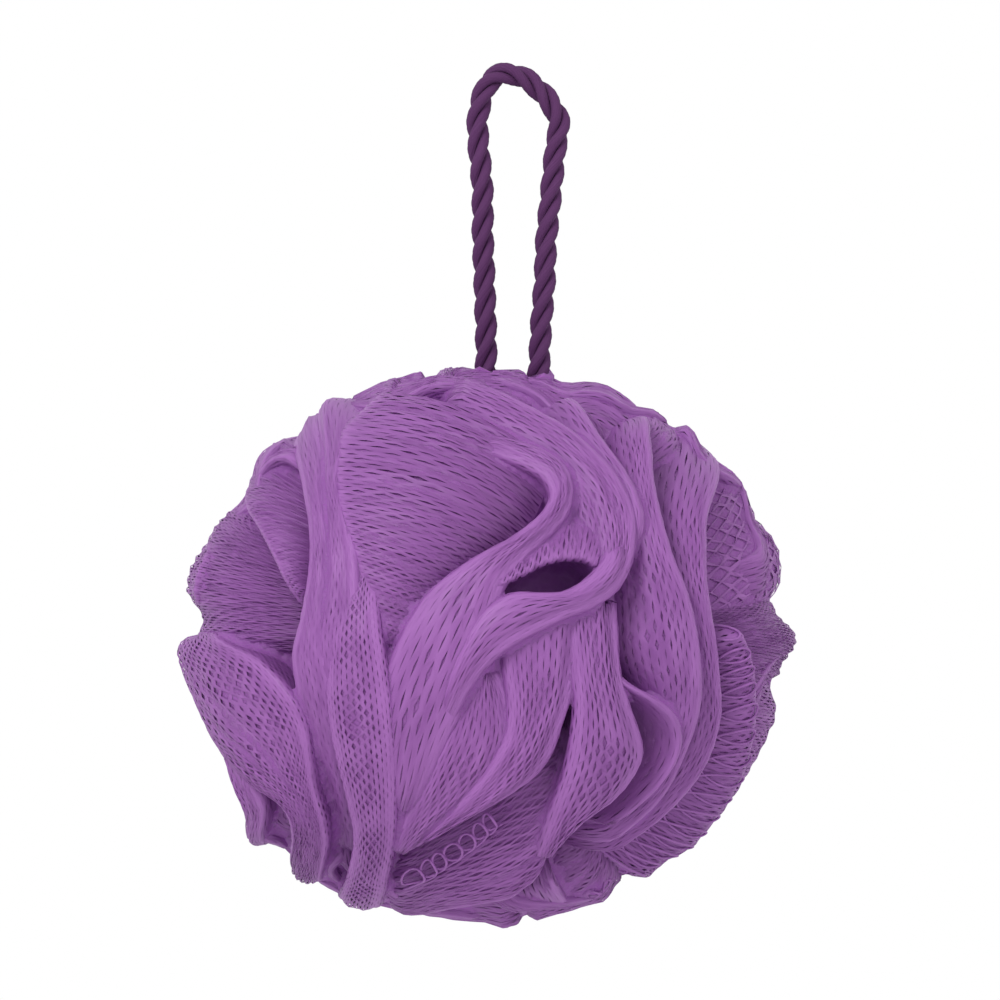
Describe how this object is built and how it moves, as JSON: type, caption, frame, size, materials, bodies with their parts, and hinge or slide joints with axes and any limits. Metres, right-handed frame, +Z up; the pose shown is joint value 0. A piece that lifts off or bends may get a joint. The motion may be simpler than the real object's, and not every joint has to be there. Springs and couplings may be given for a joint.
{
  "type": "mesh bath pouf",
  "caption": "Round bath pouf of gathered soft netting, tied at its middle, with a laid cord loop to hang it by.",
  "frame": {"origin": "the point in the top of the cord loop where a hook bears", "axes": "+Z up, -Y towards the viewer of the picture, +X to the viewer's right"},
  "size_m": [0.1316, 0.123, 0.1855],
  "materials": {
    "netting": "soft knitted plastic net, satin",
    "cord": "matt three-strand laid cord",
    "tie": "clear nylon line"
  },
  "bodies": {
    "root": {"netting": "netting", "hanging_cord": "cord", "cord_knot": "cord", "waist_tie": "tie"}
  },
  "joints": []
}
